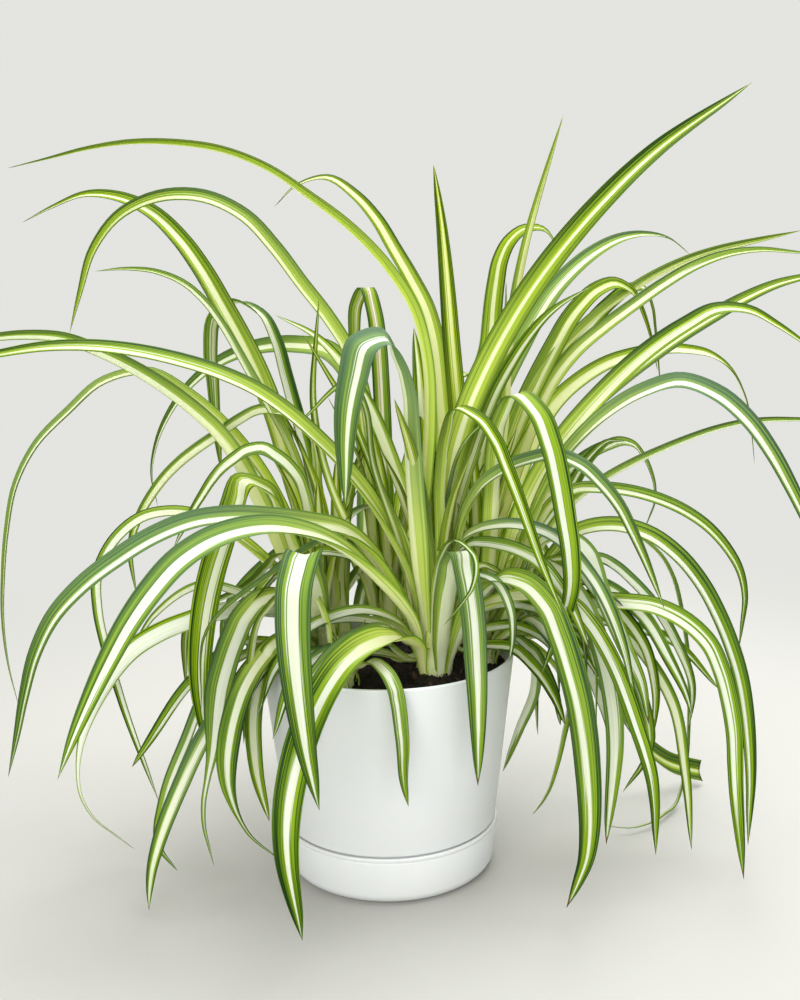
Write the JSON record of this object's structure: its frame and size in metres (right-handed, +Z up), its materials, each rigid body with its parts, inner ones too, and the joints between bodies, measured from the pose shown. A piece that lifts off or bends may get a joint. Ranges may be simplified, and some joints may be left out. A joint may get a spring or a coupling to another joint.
{
  "type": "potted spider plant",
  "caption": "Spider plant with arching, white-striped strap leaves growing from rosette crowns in a white plastic pot that stands in its own saucer.",
  "frame": {"origin": "centre of the saucer's flat underside, on the surface the plant stands on", "axes": "+Z up out of the pot; +X to the right and -Y towards a person who faces the plant's front"},
  "size_m": [0.5969, 0.4133, 0.507],
  "materials": {
    "pot_plastic": "white, smooth, softly glossy",
    "soil": "dark crumbly potting mix",
    "crown": "pale fleshy leaf bases and roots",
    "leaf": "green margins with a cream middle stripe, satin"
  },
  "bodies": {
    "root": {"saucer": "pot_plastic", "pot": "pot_plastic", "potting_soil": "soil", "crown_back": "crown", "crown_left_back": "crown", "crown_left_front": "crown", "crown_middle": "crown", "crown_right_back": "crown", "crown_right_front": "crown", "crown_rim": "crown", "leaf_back_01": "leaf", "leaf_back_02": "leaf", "leaf_back_03": "leaf", "leaf_back_04": "leaf", "leaf_back_05": "leaf", "leaf_back_06": "leaf", "leaf_back_07": "leaf", "leaf_left_back_01": "leaf", "leaf_left_back_02": "leaf", "leaf_left_back_03": "leaf", "leaf_left_back_04": "leaf", "leaf_left_back_05": "leaf", "leaf_left_back_06": "leaf", "leaf_left_front_01": "leaf", "leaf_left_front_02": "leaf", "leaf_left_front_03": "leaf", "leaf_left_front_04": "leaf", "leaf_left_front_05": "leaf", "leaf_left_front_06": "leaf", "leaf_middle_01": "leaf", "leaf_middle_02": "leaf", "leaf_middle_03": "leaf", "leaf_middle_04": "leaf", "leaf_middle_05": "leaf", "leaf_middle_06": "leaf", "leaf_middle_07": "leaf", "leaf_middle_08": "leaf", "leaf_middle_09": "leaf", "leaf_middle_10": "leaf", "leaf_middle_11": "leaf", "leaf_middle_12": "leaf", "leaf_middle_13": "leaf", "leaf_right_back_01": "leaf", "leaf_right_back_02": "leaf", "leaf_right_back_03": "leaf", "leaf_right_back_04": "leaf", "leaf_right_back_05": "leaf", "leaf_right_back_06": "leaf", "leaf_right_back_07": "leaf", "leaf_right_front_01": "leaf", "leaf_right_front_02": "leaf", "leaf_right_front_03": "leaf", "leaf_right_front_04": "leaf", "leaf_right_front_05": "leaf", "leaf_right_front_06": "leaf", "leaf_right_front_07": "leaf", "leaf_right_front_08": "leaf", "leaf_right_front_09": "leaf", "leaf_right_front_10": "leaf", "leaf_rim_01": "leaf"}
  },
  "joints": []
}
